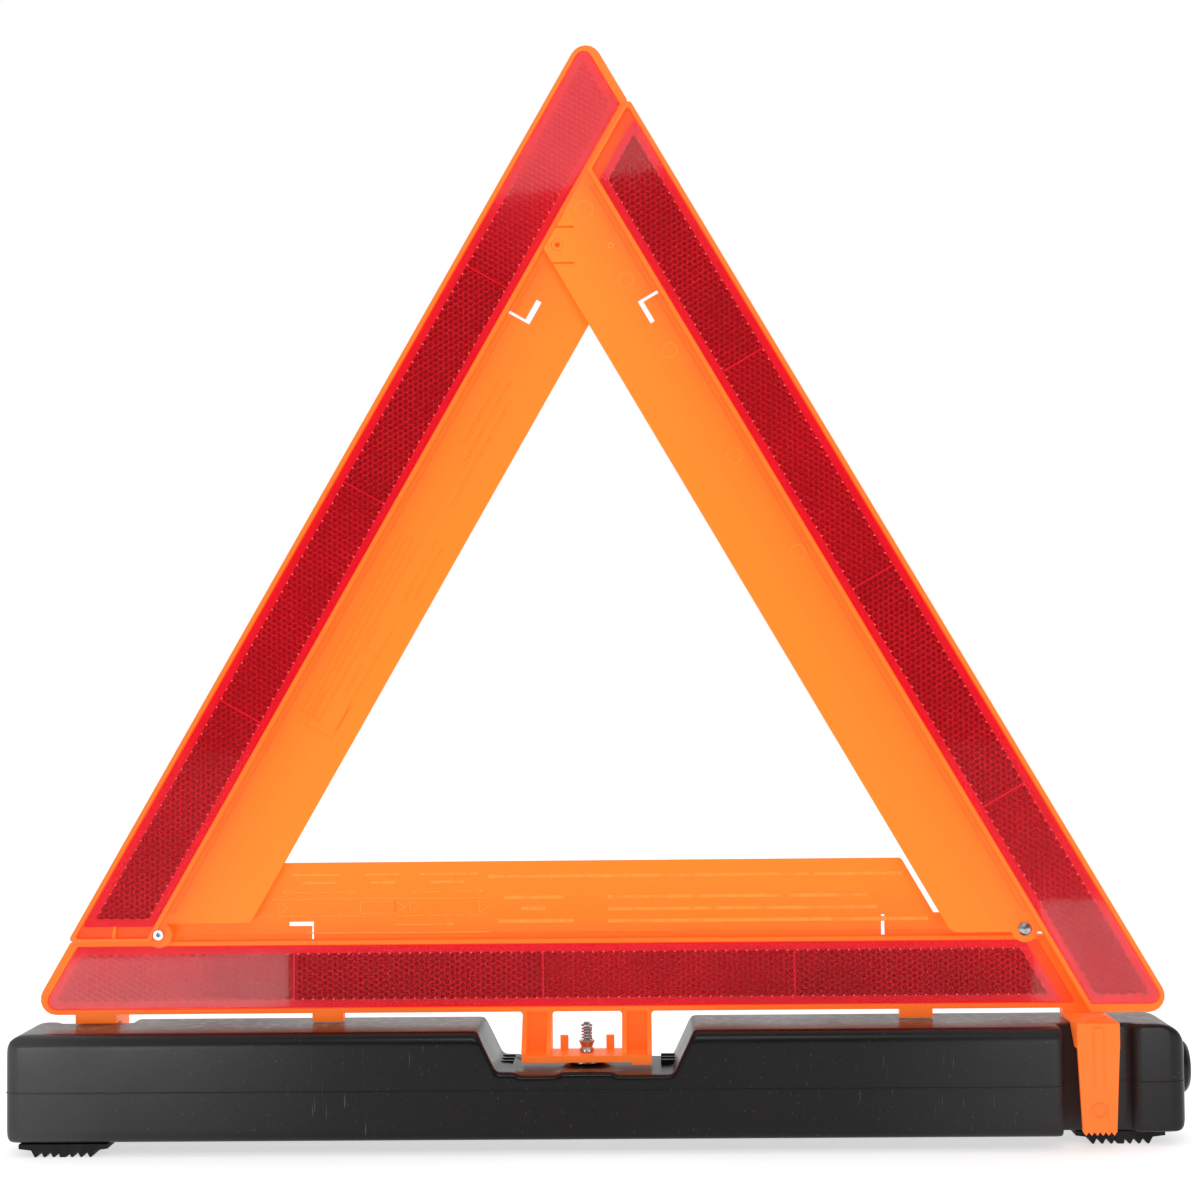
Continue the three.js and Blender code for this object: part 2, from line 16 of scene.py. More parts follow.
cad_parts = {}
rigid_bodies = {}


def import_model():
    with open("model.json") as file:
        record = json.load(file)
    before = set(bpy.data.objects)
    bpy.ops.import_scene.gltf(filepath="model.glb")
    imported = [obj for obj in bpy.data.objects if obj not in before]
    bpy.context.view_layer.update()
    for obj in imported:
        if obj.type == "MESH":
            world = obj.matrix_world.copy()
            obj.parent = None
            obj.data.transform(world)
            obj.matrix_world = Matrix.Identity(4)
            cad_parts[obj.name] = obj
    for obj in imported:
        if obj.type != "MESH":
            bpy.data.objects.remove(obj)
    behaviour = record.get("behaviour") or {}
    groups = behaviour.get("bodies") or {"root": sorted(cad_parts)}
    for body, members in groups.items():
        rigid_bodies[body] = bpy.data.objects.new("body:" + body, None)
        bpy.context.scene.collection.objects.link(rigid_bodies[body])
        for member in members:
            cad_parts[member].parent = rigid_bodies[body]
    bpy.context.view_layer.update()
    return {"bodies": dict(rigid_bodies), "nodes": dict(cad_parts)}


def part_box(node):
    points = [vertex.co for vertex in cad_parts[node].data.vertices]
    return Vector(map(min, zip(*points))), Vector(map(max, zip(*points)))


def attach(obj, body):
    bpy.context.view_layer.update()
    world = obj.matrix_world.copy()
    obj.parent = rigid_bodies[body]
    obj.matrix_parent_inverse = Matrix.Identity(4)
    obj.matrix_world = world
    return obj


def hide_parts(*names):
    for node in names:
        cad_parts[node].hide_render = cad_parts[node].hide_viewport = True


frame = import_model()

MM = 0.001
ROOT3 = math.sqrt(3)

# Bars: corner X, corner Z, the turn of u from +X in degrees, and the layer along Y
SIDE = 457.2
TRIANGLE_X = -2.0
TRIANGLE_BOTTOM = 51.5
BARS = {
    "lower_bar": (TRIANGLE_X - SIDE / 2, TRIANGLE_BOTTOM, 0, 6.6),
    "left_arm": (TRIANGLE_X, TRIANGLE_BOTTOM + SIDE * ROOT3 / 2, 240, 0.0),
    "right_arm": (TRIANGLE_X + SIDE / 2, TRIANGLE_BOTTOM, 120, -6.6),
}
LENS_BAND = 29.0
BAR_GAP = 0.8
BAR_LENGTH = SIDE - 2 * (LENS_BAND + BAR_GAP) / ROOT3
PANEL_FACE = 0.8

# Lenses
LENS_INSET = {"outer": 2.1, "inner": 2.0, "corner": 3.5, "far": 5.8}
COVER_FACE = 2.9
COVER_BACK = 2.2
MARGIN = 3.1
MARGIN_FACE = 2.12
PRISM_SPACING = 2.38 / ROOT3
PRISM_STEP = 0.42
PRISM_DEEP = 1.2
DIVIDERS = (107.0, 207.5, 308.5)
DIVIDER_WIDTH = 0.5
DOT_PITCH = 4.1
DOT_RADIUS = 0.34

# Painted reflection: how much lighter the prisms are coloured near the corner that each bar owns, standing
# for the glare of the lights on the lens, fading out between two places
CORNER_PAINTED_REFLECTION = {"lower_bar": 0.34, "left_arm": 0.5, "right_arm": 0.14}
CORNER_PAINTED_REFLECTION_FADE = (52, 104)

# Base, turn axis and legs
TURN_X = -5.6
BASE_VOXEL = 1.0
BASE_SOFTENING = 9
FILLER_CAP = {"inset": 4, "depth": 6}
PARTING_HEIGHT = 25.0
PARTING_RADIUS = 0.3
SHORTEST_LOOP = 200
SEAM_X = -2.0
BASE_FRONT = -24.0
WAIST_RIBS = {"spans": ((-35.0, -29.5), (29.5, 35.0)), "places": (1.0, 8.0, 15.0), "top": 32.5}
LEG_X = TURN_X + 198.0
LEG_FRONT = -26.5
LEG_RIB = {"half": 2.1, "bottom": 24, "top": 48.4, "proud": 0.7, "chamfer": 0.6}
LEG_BOSS_HEIGHT = 16.2
LEG_BOSS_PROFILE = [(3.3, 0.2), (3.1, -0.6), (2.5, -0.6), (2.2, 0.2)]
YOKE_POST_EDGES = ((-25.7, -1), (-13.9, 1), (14.1, -1), (25.9, 1))
YOKE_FILLET = 2.2
SPRING = {"bottom": 40.9, "top": 46.0, "turns": 4, "radius": 1.95, "wire": 0.35}
SPRING_STEPS = 96

# Rings on the right arm, as u, v and radius
EJECTOR_RINGS = (
    (393.4, 38.1, 3.6),
    (360.4, 38.1, 3.0),
    (326.8, 37.5, 3.0),
    (277.2, 36.8, 3.0),
    (231.1, 35.1, 3.0),
)
GATE_RING = (375.3, 36.3, 0.9)
LATCH_RING = (386.5, 54.6, 3.0)

# Raised marks on the lower bar: straight lines and arrows from (u, v) to (u, v), triangles as u and length,
# and rows of dashes as v, start, end and number
RULES = (((98, 45.5), (186, 45.5)), ((112, 31.8), (186, 31.8)))
ARROWS = (
    ((116, 48.2), (102, 48.2)),
    ((118, 48.2), (132, 48.2)),
    ((168, 48.2), (154, 48.2)),
    ((170, 48.2), (184, 48.2)),
    ((148, 35), (172, 35)),
)
TRIANGLES = ((101, 4), (148, 4), (154, 4), (182, 4))
DIAGRAM_BOX = [(134, 39.6), (148, 39.6), (148, 44.4), (134, 44.4)]
SMALL_ROWS = (
    (55.2, 106, 126, 6),
    (55.2, 136, 150, 4),
    (55.2, 158, 182, 6),
    (52, 110, 124, 4),
    (52, 138, 148, 3),
    (52, 162, 176, 4),
)
LARGE_ROWS = (
    (54, 186, 352, 72),
    (45.5, 192, 216, 9),
    (41, 199, 209, 3),
    (36, 190, 220, 12),
    (45.5, 234, 338, 51),
    (40.6, 234, 342, 54),
    (35.8, 234, 362, 60),
)

# Raised marks on the left arm: open boxes as two u and two v, and rows as above
LEFT_ARM_BOXES = ((214, 296, 36, 38.5), (214, 296, 41, 44), (250, 262, 46, 52), (285, 300, 40, 52))
LEFT_ARM_ROWS = (
    (40, 142, 170, 12),
    (44, 140, 180, 16),
    (48, 146, 196, 20),
    (50, 210, 238, 10),
    (53.5, 212, 236, 10),
    (48, 268, 282, 6),
    (52, 262, 296, 12),
)

# Lights, in metres and watts: place, target, width, height, power and roll in degrees
LIGHTS = {
    "top_front": ((0.0, -1.0, 0.80), (0.0, 0.0, 0.3), 0.42, 0.36, 2.6, 8),
    "low_left": ((-0.262, -0.36, 0.016), (-0.2, 0.0, 0.06), 0.15, 0.03, 0.14, 0),
    "low_right": ((0.275, -0.36, 0.031), (0.2, 0.0, 0.06), 0.08, 0.06, 0.09, 0),
    "overhead": ((0.0, 0.1, 1.6), (0.0, 0.0, 0.0), 1.6, 1.6, 2.2, 0),
}
CAMERA = {"place": (0.022, -0.8893, 0.1804), "lens": 66.4, "turn": 1.32, "pitch": 92.31, "roll": -0.61}

random.seed(7)


# Finishes


class Finish:
    """A Principled material fed by procedural nodes, in object coordinates or in a bar's own plane."""

    def __init__(self, name, bar=None, **values):
        self.material = bpy.data.materials.new(name)
        self.material.use_nodes = True
        self.nodes = self.material.node_tree.nodes
        self.links = self.material.node_tree.links
        self.shader = self.nodes["Principled BSDF"]
        for socket, value in values.items():
            self.shader.inputs[socket.replace("_", " ")].default_value = value
        self.place = self.nodes.new("ShaderNodeTexCoord").outputs["Object"]
        if bar:
            self.place = self.into_bar(bar)

    def into_bar(self, bar):
        """Object coordinates turned into u, y and v, in millimetres."""
        x, z, turn, layer = BARS[bar]
        mapping = self.nodes.new("ShaderNodeMapping")
        mapping.vector_type = "TEXTURE"
        mapping.inputs["Location"].default_value = (x * MM, layer * MM, z * MM)
        mapping.inputs["Rotation"].default_value = (0, -math.radians(turn), 0)
        mapping.inputs["Scale"].default_value = (MM, MM, MM)
        self.links.new(self.place, mapping.inputs["Vector"])
        return mapping.outputs["Vector"]

    def noise(self, scale, detail=3.0, stretch=(1, 1, 1)):
        mapping = self.nodes.new("ShaderNodeMapping")
        mapping.inputs["Scale"].default_value = stretch
        self.links.new(self.place, mapping.inputs["Vector"])
        noise = self.nodes.new("ShaderNodeTexNoise")
        noise.inputs["Scale"].default_value = scale
        noise.inputs["Detail"].default_value = detail
        self.links.new(mapping.outputs["Vector"], noise.inputs["Vector"])
        return noise.outputs["Fac"]

    def along(self, axis):
        separate = self.nodes.new("ShaderNodeSeparateXYZ")
        self.links.new(self.place, separate.inputs["Vector"])
        return separate.outputs[axis]

    def attribute(self, name):
        node = self.nodes.new("ShaderNodeAttribute")
        node.attribute_name = name
        return node.outputs["Fac"]

    def span(self, value, low, high, to_low=0.0, to_high=1.0):
        node = self.nodes.new("ShaderNodeMapRange")
        limits = {"From Min": low, "From Max": high, "To Min": to_low, "To Max": to_high}
        for socket, number in limits.items():
            node.inputs[socket].default_value = number
        self.links.new(value, node.inputs["Value"])
        return node.outputs["Result"]

    def calculate(self, operation, *values):
        node = self.nodes.new("ShaderNodeMath")
        node.operation = operation
        for socket, value in zip(node.inputs, values):
            self.links.new(value, socket)
        return node.outputs["Value"]

    def times(self, first, second):
        return self.calculate("MULTIPLY", first, second)

    def size_of(self, value):
        return self.calculate("ABSOLUTE", value)

    def ramp(self, value, *stops):
        """Colours along a value: stops are (position, colour)."""
        node = self.nodes.new("ShaderNodeValToRGB")
        ramp = node.color_ramp
        while len(ramp.elements) < len(stops):
            ramp.elements.new(0.5)
        for element, (position, colour) in zip(ramp.elements, stops):
            element.position = position
            element.color = colour
        self.links.new(value, node.inputs["Fac"])
        return node.outputs["Color"]

    def mix(self, amount, first, second, blend="MIX"):
        """first and second are each a socket or a colour, and amount is a socket or a number."""
        node = self.nodes.new("ShaderNodeMix")
        node.data_type = "RGBA"
        node.blend_type = blend
        for index, given in ((0, amount), (6, first), (7, second)):
            if isinstance(given, bpy.types.NodeSocket):
                self.links.new(given, node.inputs[index])
            else:
                node.inputs[index].default_value = given
        return node.outputs[2]

    def ease_edges(self, radius):
        """Edges that catch the light as if they were rounded to radius, in millimetres."""
        node = self.nodes.new("ShaderNodeBevel")
        node.samples = 4
        node.inputs["Radius"].default_value = radius * MM
        self.links.new(node.outputs["Normal"], self.shader.inputs["Normal"])

    def bump(self, height, strength, depth):
        """A bump of depth millimetres, on top of any bump already there."""
        node = self.nodes.new("ShaderNodeBump")
        node.inputs["Strength"].default_value = strength
        node.inputs["Distance"].default_value = depth * MM
        self.links.new(height, node.inputs["Height"])
        normal = self.shader.inputs["Normal"]
        if normal.is_linked:
            self.links.new(normal.links[0].from_socket, node.inputs["Normal"])
        self.links.new(node.outputs["Normal"], normal)

    def feed(self, socket, source):
        self.links.new(source, self.shader.inputs[socket])


def srgb(red, green, blue):
    """A linear colour from 0-255 screen values."""

    def linear(value):
        share = value / 255
        return share / 12.92 if share <= 0.04045 else ((share + 0.055) / 1.055) ** 2.4

    return (linear(red), linear(green), linear(blue), 1.0)


def orange_finish(bar):
    """Fluorescent orange moulding, coloured as lit and shaded: the thin panels are painted lighter than the
    thick rims, as if light came through them, with painted shade in the groove beside the lens and in the
    sunk lens band, and a glow partly fluorescent and partly painted.
    """
    # The emission is partly the moulding's fluorescence and partly a painted glow.
    f = Finish(f"orange_{bar}", bar, Roughness=0.38, Specular_IOR_Level=0.2, Emission_Strength=0.36)
    f.ease_edges(0.3)
    v = f.along("Z")
    u = f.along("X")
    # Painted shade along v: darker in the groove beside the lens and next to the rims, lighter further into
    # the panels.
    painted_shading = f.ramp(
        f.span(v, -20, 64),
        (0.0, srgb(255, 116, 44)),
        (0.24, srgb(255, 113, 38)),
        (0.56, srgb(255, 116, 38)),
        (0.605, srgb(255, 104, 34)),
        (0.67, srgb(255, 118, 34)),
        (0.80, srgb(254, 128, 36)),
        (1.0, srgb(254, 132, 38)),
    )
    cooler = f.mix(f.span(u, 40, 400, 0.4, 0.0), painted_shading, srgb(255, 122, 34))
    # Painted shade in the sunk lens band: it is coloured redder.
    sunk = f.times(f.span(f.size_of(f.along("Y")), 1.0, 1.6, 1.0, 0.0), f.span(v, 27.2, 28.6, 1.0, 0.0))
    in_lens_band = f.times(sunk, f.span(v, 0, 1))
    recess_painted_shade = f.mix(in_lens_band, cooler, srgb(255, 78, 30))
    mottle = f.noise(0.05, 3)
    colour = f.mix(f.span(mottle, 0.3, 0.7, 0.0, 0.16), recess_painted_shade, srgb(255, 124, 32))
    f.feed("Base Color", colour)
    f.feed("Emission Color", colour)
    fine = f.noise(2.4, 4)
    f.feed("Roughness", f.span(fine, 0.3, 0.7, 0.32, 0.46))
    f.bump(fine, 0.25, 0.05)
    f.bump(f.noise(0.12, 2), 0.3, 0.3)
    return f.material


def prism_finish(bar):
    """Red prisms, coloured as lit and shaded: painted shade in the cells and a different painted shade in
    each field, painted light along the rims, a painted reflection towards the corner that the bar owns, and a
    painted glow.
    """
    # The emission is a painted glow: the prisms give no light of their own.
    f = Finish(f"prisms_{bar}", bar, Roughness=0.3, Specular_IOR_Level=0.1, Emission_Strength=0.25)
    block = f.attribute("block")
    # Painted shade in the cells, a different shade in each field between the dividers.
    painted_cell_shade = f.ramp(
        block,
        (0.0, srgb(144, 0, 8)),
        (0.34, srgb(128, 0, 6)),
        (0.67, srgb(150, 0, 9)),
        (1.0, srgb(134, 0, 7)),
    )
    # Painted light along the cell rims, flecked at random.
    lit = f.mix(f.span(f.noise(0.8, 1), 0.35, 0.65), srgb(180, 8, 20), srgb(216, 26, 40))
    shade = f.mix(f.span(f.attribute("rim"), 0.62, 0.9), painted_cell_shade, lit)
    patched = f.mix(f.span(f.noise(0.04, 2), 0.35, 0.7, 0.0, 0.4), shade, srgb(124, 0, 6))
    # Painted reflection: the prisms are coloured lighter towards the corner that the bar owns.
    painted_reflection = f.span(f.along("X"), *CORNER_PAINTED_REFLECTION_FADE, CORNER_PAINTED_REFLECTION[bar], 0.0)
    colour = f.mix(painted_reflection, patched, srgb(255, 48, 68))
    f.feed("Base Color", colour)
    f.feed("Emission Color", colour)
    return f.material


def margin_finish(bar):
    """The smooth red border round the prisms."""
    # The emission is a painted glow: the red border gives no light of its own.
    f = Finish(f"margin_{bar}", bar, Roughness=0.3, Specular_IOR_Level=0.15, Emission_Strength=0.4)
    noise = f.noise(0.3, 2, (0.2, 1, 1))
    border = f.mix(noise, srgb(200, 8, 26), srgb(230, 22, 40))
    # Painted glint: the small dots are coloured pinkish white.
    colour = f.mix(f.attribute("painted_glint"), border, srgb(255, 120, 130))
    f.feed("Base Color", colour)
    f.feed("Emission Color", colour)
    return f.material


def cover_finish(bar):
    """Clear red plastic, glossy, with hairline scratches along and across."""
    f = Finish(f"cover_{bar}", bar, Base_Color=srgb(232, 24, 40), Alpha=0.1, Specular_IOR_Level=0.62)
    scratch = f.noise(1.0, 2, (0.05, 1, 2.6))
    f.feed("Roughness", f.span(scratch, 0.45, 0.75, 0.03, 0.12))
    f.bump(f.noise(0.02, 1), 0.12, 0.1)
    return f.material


def black_finish():
    """Blow-moulded black plastic: fine grain, ends painted greyer as if lit from the sides, a lighter grey
    top, and thin upright scratches.
    """
    f = Finish("black_plastic", Specular_IOR_Level=0.22)
    cloudy = f.noise(18, 4)
    # Painted light: greyer towards both ends, most at the left, standing for side light falling off along the
    # base.
    painted_end_light = f.ramp(
        f.span(f.along("X"), -0.235, 0.235),
        (0.0, srgb(74, 73, 75)),
        (0.1, srgb(50, 49, 51)),
        (0.28, srgb(20, 19, 20)),
        (0.5, srgb(7, 6, 7)),
        (0.72, srgb(20, 19, 20)),
        (0.88, srgb(48, 47, 48)),
        (1.0, srgb(30, 29, 30)),
    )
    cloudy_and_painted_end_light = f.mix(f.span(cloudy, 0.3, 0.7, 0.0, 0.35), painted_end_light, srgb(26, 25, 26))
    facing = f.nodes.new("ShaderNodeNewGeometry").outputs["Normal"]
    separate = f.nodes.new("ShaderNodeSeparateXYZ")
    f.links.new(facing, separate.inputs["Vector"])
    # The upward faces of the top are coloured a lighter, blotchy grey, more towards the back.
    top_grey = f.mix(f.span(f.noise(260, 5), 0.45, 0.66), srgb(84, 81, 79), srgb(138, 134, 131))
    level_top = f.times(f.span(separate.outputs["Z"], 0.9, 0.995), f.span(f.along("Z"), 0.041, 0.045))
    topped = f.mix(f.times(level_top, f.span(f.along("Y"), -0.016, -0.004)), cloudy_and_painted_end_light, top_grey)
    streaks = f.span(f.noise(1.0, 3, (1300, 1300, 70)), 0.68, 0.76)
    scratches = f.times(streaks, f.span(f.noise(22, 2), 0.5, 0.62))
    specks = f.span(f.noise(1100, 1), 0.74, 0.8)
    marked = f.mix(f.span(scratches, 0, 1, 0, 0.35), topped, srgb(150, 148, 148))
    f.feed("Base Color", f.mix(f.span(specks, 0, 1, 0, 0.22), marked, srgb(150, 148, 146)))
    f.feed("Roughness", f.span(cloudy, 0.3, 0.7, 0.22, 0.34))
    f.bump(f.noise(900, 4), 0.25, 0.04)
    f.bump(f.noise(14, 2), 0.4, 0.4)
    return f.material


def rubber_finish():
    """Dull black rubber with a fine grain."""
    f = Finish("black_rubber", Roughness=0.8, Specular_IOR_Level=0.25)
    fine = f.noise(1400, 3)
    f.feed("Base Color", f.ramp(f.noise(90, 4), (0.3, srgb(24, 24, 25)), (0.75, srgb(44, 43, 43))))
    f.bump(fine, 0.4, 0.1)
    return f.material


def sand_finish():
    """Pale dry sand."""
    f = Finish("sand", Roughness=0.95)
    grains = f.noise(1500, 2)
    f.feed("Base Color", f.ramp(grains, (0.3, srgb(150, 128, 92)), (0.7, srgb(204, 184, 148))))
    f.bump(grains, 1.0, 0.5)
    return f.material


def steel_finish():
    """Bright zinc plate, slightly cloudy."""
    f = Finish("zinc_steel", Metallic=1.0)
    cloudy = f.noise(700, 3)
    f.feed("Base Color", f.ramp(cloudy, (0.3, srgb(150, 152, 156)), (0.75, srgb(205, 206, 210))))
    f.feed("Roughness", f.span(cloudy, 0.3, 0.7, 0.16, 0.34))
    f.bump(f.noise(1800, 3), 0.2, 0.05)
    return f.material


def mark_finish():
    """Raised lines moulded in the panels, a little lighter than the panel round them."""
    # The emission is partly the moulding's fluorescence and partly a painted glow.
    f = Finish("orange_marks", Roughness=0.4, Specular_IOR_Level=0.3, Emission_Strength=0.37)
    colour = f.ramp(f.noise(300, 2), (0.3, srgb(255, 136, 46)), (0.7, srgb(255, 145, 58)))
    f.feed("Base Color", colour)
    f.feed("Emission Color", colour)
    return f.material


MARKS = mark_finish()
ORANGE = {bar: orange_finish(bar) for bar in BARS}
PRISM = {bar: prism_finish(bar) for bar in BARS}
MARGIN_RED = {bar: margin_finish(bar) for bar in BARS}
COVER = {bar: cover_finish(bar) for bar in BARS}
BLACK = black_finish()
RUBBER = rubber_finish()
SAND = sand_finish()
STEEL = steel_finish()


# Mesh helpers


def bar_plane(bar):
    """From u, y and v in millimetres to the row frame in metres."""
    x, z, turn, layer = BARS[bar]
    place = Matrix.Translation(Vector((x, layer, z)) * MM)
    return place @ Matrix.Rotation(-math.radians(turn), 4, "Y") @ Matrix.Scale(MM, 4)


def add_piece(name, mesh, material, body):
    mesh.materials.clear()
    mesh.materials.append(material)
    obj = bpy.data.objects.new(name, mesh)
    bpy.context.scene.collection.objects.link(obj)
    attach(obj, body)
    return obj


def finished(bm, name, smooth_angle=32):
    """A mesh from bm, with its normals outwards, smooth but for edges sharper than smooth_angle."""
    bmesh.ops.recalc_face_normals(bm, faces=bm.faces)
    for face in bm.faces:
        face.smooth = True
    mesh = bpy.data.meshes.new(name)
    bm.to_mesh(mesh)
    bm.free()
    mesh.set_sharp_from_angle(angle=math.radians(smooth_angle))
    return mesh


def add_slab(bm, outline, near, far, plane, chamfer=0.0):
    """A flat body over an outline of (u, v) points, from near to far along y, chamfered at its far edge."""
    levels = [(near, 0.0)]
    if chamfer:
        levels.append((far - math.copysign(chamfer, far - near), 0.0))
    levels.append((far, chamfer))
    rings = []
    for y, inset in levels:
        points = inset_outline(outline, inset) if inset else outline
        rings.append([bm.verts.new(plane @ Vector((u, y, v))) for u, v in points])
    for ring, following in zip(rings, rings[1:]):
        for i in range(len(ring)):
            j = (i + 1) % len(ring)
            bm.faces.new((ring[i], ring[j], following[j], following[i]))
    bm.faces.new(rings[0])
    bm.faces.new(rings[-1])


def inset_outline(outline, inset):
    """An anticlockwise outline drawn in by inset."""
    drawn = []
    for i, here in enumerate(outline):
        before = Vector(here) - Vector(outline[i - 1])
        after = Vector(outline[(i + 1) % len(outline)]) - Vector(here)
        normals = [Vector((-edge.y, edge.x)).normalized() for edge in (before, after)]
        middle = (normals[0] + normals[1]).normalized()
        drawn.append(tuple(Vector(here) + middle * inset / max(middle.dot(normals[0]), 0.3)))
    return drawn


def rounded(corners, steps=5):
    """An outline through (u, v, radius) corners, anticlockwise."""
    points = []
    for i, (u, v, radius) in enumerate(corners):
        here = Vector((u, v))
        before = (Vector(corners[i - 1][:2]) - here).normalized()
        after = (Vector(corners[(i + 1) % len(corners)][:2]) - here).normalized()
        half = before.angle(after) / 2
        middle = here + (before + after).normalized() * radius / math.sin(half)
        start = here + before * radius / math.tan(half) - middle
        end = here + after * radius / math.tan(half) - middle
        turn = start.angle_signed(end)
        for step in range(steps + 1):
            points.append(tuple(middle + Matrix.Rotation(-turn * step / steps, 2) @ start))
    return points


def add_lathe(bm, profile, sides, place):
    """A turned body: profile is a list of (radius, y), about the y axis of place."""
    rings = []
    for radius, y in profile:
        if radius == 0:
            rings.append([bm.verts.new(place @ Vector((0, y, 0)))])
            continue
        angles = [2 * math.pi * i / sides for i in range(sides)]
        points = [Vector((radius * math.cos(a), y, radius * math.sin(a))) for a in angles]
        rings.append([bm.verts.new(place @ point) for point in points])
    for ring, following in zip(rings, rings[1:]):
        for i in range(sides):
            j = (i + 1) % sides
            corners = [
                ring[i % len(ring)],
                ring[j % len(ring)],
                following[j % len(following)],
                following[i % len(following)],
            ]
            bm.faces.new(list(dict.fromkeys(corners)))


def add_ring_mark(bm, u, v, radius, plane, width=0.5, height=0.25):
    """A low raised ring on a panel's front face."""
    low = -PANEL_FACE + 0.1
    high = -PANEL_FACE - height
    profile = [
        (radius - width / 2, low),
        (radius - width / 4, high),
        (radius + width / 4, high),
        (radius + width / 2, low),
    ]
    add_lathe(bm, profile, 28, plane @ Matrix.Translation((u, 0, v)))


def add_bar_mark(bm, start, end, width, plane, height=0.3):
    """A low raised line on a panel's front face, from (u, v) to (u, v)."""
    a, b = Vector(start), Vector(end)
    along = (b - a).normalized() * width / 2
    side = Vector((-along.y, along.x))
    outline = [tuple(p) for p in (a - along - side, b + along - side, b + along + side, a - along + side)]
    add_slab(bm, outline, -PANEL_FACE + 0.1, -PANEL_FACE - height, plane, width * 0.2)


def refine(node, material, bevel):
    """A copy of a CAD node with its sharp edges bevelled by bevel millimetres, which stands for it."""
    source = frame["nodes"][node]
    bm = bmesh.new()
    bm.from_mesh(source.data)
    bmesh.ops.remove_doubles(bm, verts=bm.verts, dist=2e-6)
    flat = math.radians(1)
    bmesh.ops.dissolve_limit(bm, angle_limit=flat, verts=bm.verts, edges=bm.edges)
    sharp = [e for e in bm.edges if len(e.link_faces) == 2 and e.calc_face_angle() > math.radians(40)]
    if bevel:
        bmesh.ops.bevel(
            bm, geom=sharp, offset=bevel * MM, segments=2, profile=0.5, affect="EDGES", clamp_overlap=False)
    body = next(name for name, empty in frame["bodies"].items() if source.parent == empty)
    obj = add_piece(f"{node}_eased", finished(bm, node, 22), material, body)
    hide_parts(node)


# Lenses


def lens_outline(extra=0.0, radii=(3.0, 1.0, 1.0, 1.0)):
    """The lens, drawn in by extra."""
    low = LENS_INSET["outer"] + extra
    high = LENS_BAND - LENS_INSET["inner"] - extra
    near_low, far_low = field_limits(low, extra)
    near_high, far_high = field_limits(high, extra)
    return rounded([
        (near_low, low, radii[0]),
        (far_low, low, radii[1]),
        (far_high, high, radii[2]),
        (near_high, high, radii[3]),
    ])


def field_limits(v, extra=MARGIN):
    """Where a lens drawn in by extra starts and ends along u, at v."""
    near = (v + 2 * (LENS_INSET["corner"] + extra)) / ROOT3
    far = BAR_LENGTH - (v + 2 * (LENS_INSET["far"] + extra)) / ROOT3
    return near, far


def block_of(u):
    """Which of the fields between the dividers u is in."""
    return sum(u > divider for divider in DIVIDERS)


def prism_height(i, j, turned_over):
    """0 at the deep middle of a cell, and 1 and 2 in turn round its rim."""
    height = (i - j) % 3
    return (3 - height) % 3 if turned_over else height


def prism_points(bm, plane, side):
    """The points of the prisms by grid place, each with its height."""
    rim = bm.verts.layers.float.new("rim")
    block = bm.verts.layers.float.new("block")
    low = LENS_INSET["outer"] + MARGIN - 1
    high = LENS_BAND - LENS_INSET["inner"] - MARGIN + 1
    row_pitch = PRISM_SPACING * ROOT3 / 2
    grid = {}
    for j in range(int(low / row_pitch), int(high / row_pitch) + 2):
        v = j * row_pitch
        near, far = field_limits(v, MARGIN - 1)
        for i in range(-j, int(BAR_LENGTH / PRISM_SPACING) + 2):
            u = (i + j / 2) * PRISM_SPACING
            if not near < u < far:
                continue
            number = block_of(u)
            height = prism_height(i, j, number % 2)
            vert = bm.verts.new(plane @ Vector((u, -side * (PRISM_DEEP + height * PRISM_STEP), v)))
            vert[rim] = 1.0 if height else 0.0
            vert[block] = number / len(DIVIDERS)
            grid[i, j] = (vert, height)
    return grid


def prism_sheet(bar, side):
    """Cube-corner prisms: six facets round the deep middle of each cell, in three square planes."""
    bm = bmesh.new()
    grid = prism_points(bm, bar_plane(bar), side)
    steps = [(1, 0), (0, 1), (-1, 1), (-1, 0), (0, -1), (1, -1)]
    for (i, j), (vert, height) in grid.items():
        around = [grid.get((i + di, j + dj)) for di, dj in steps]
        if height or None in around:
            continue
        for first, second in zip(around, around[1:] + around[:1]):
            bm.faces.new((vert, first[0], second[0]))
    mesh = bpy.data.meshes.new("prisms")
    bm.to_mesh(mesh)
    bm.free()
    add_piece(f"{bar}_prisms_{face_name(side)}", mesh, PRISM[bar], bar)


def face_name(side):
    return "front" if side > 0 else "back"


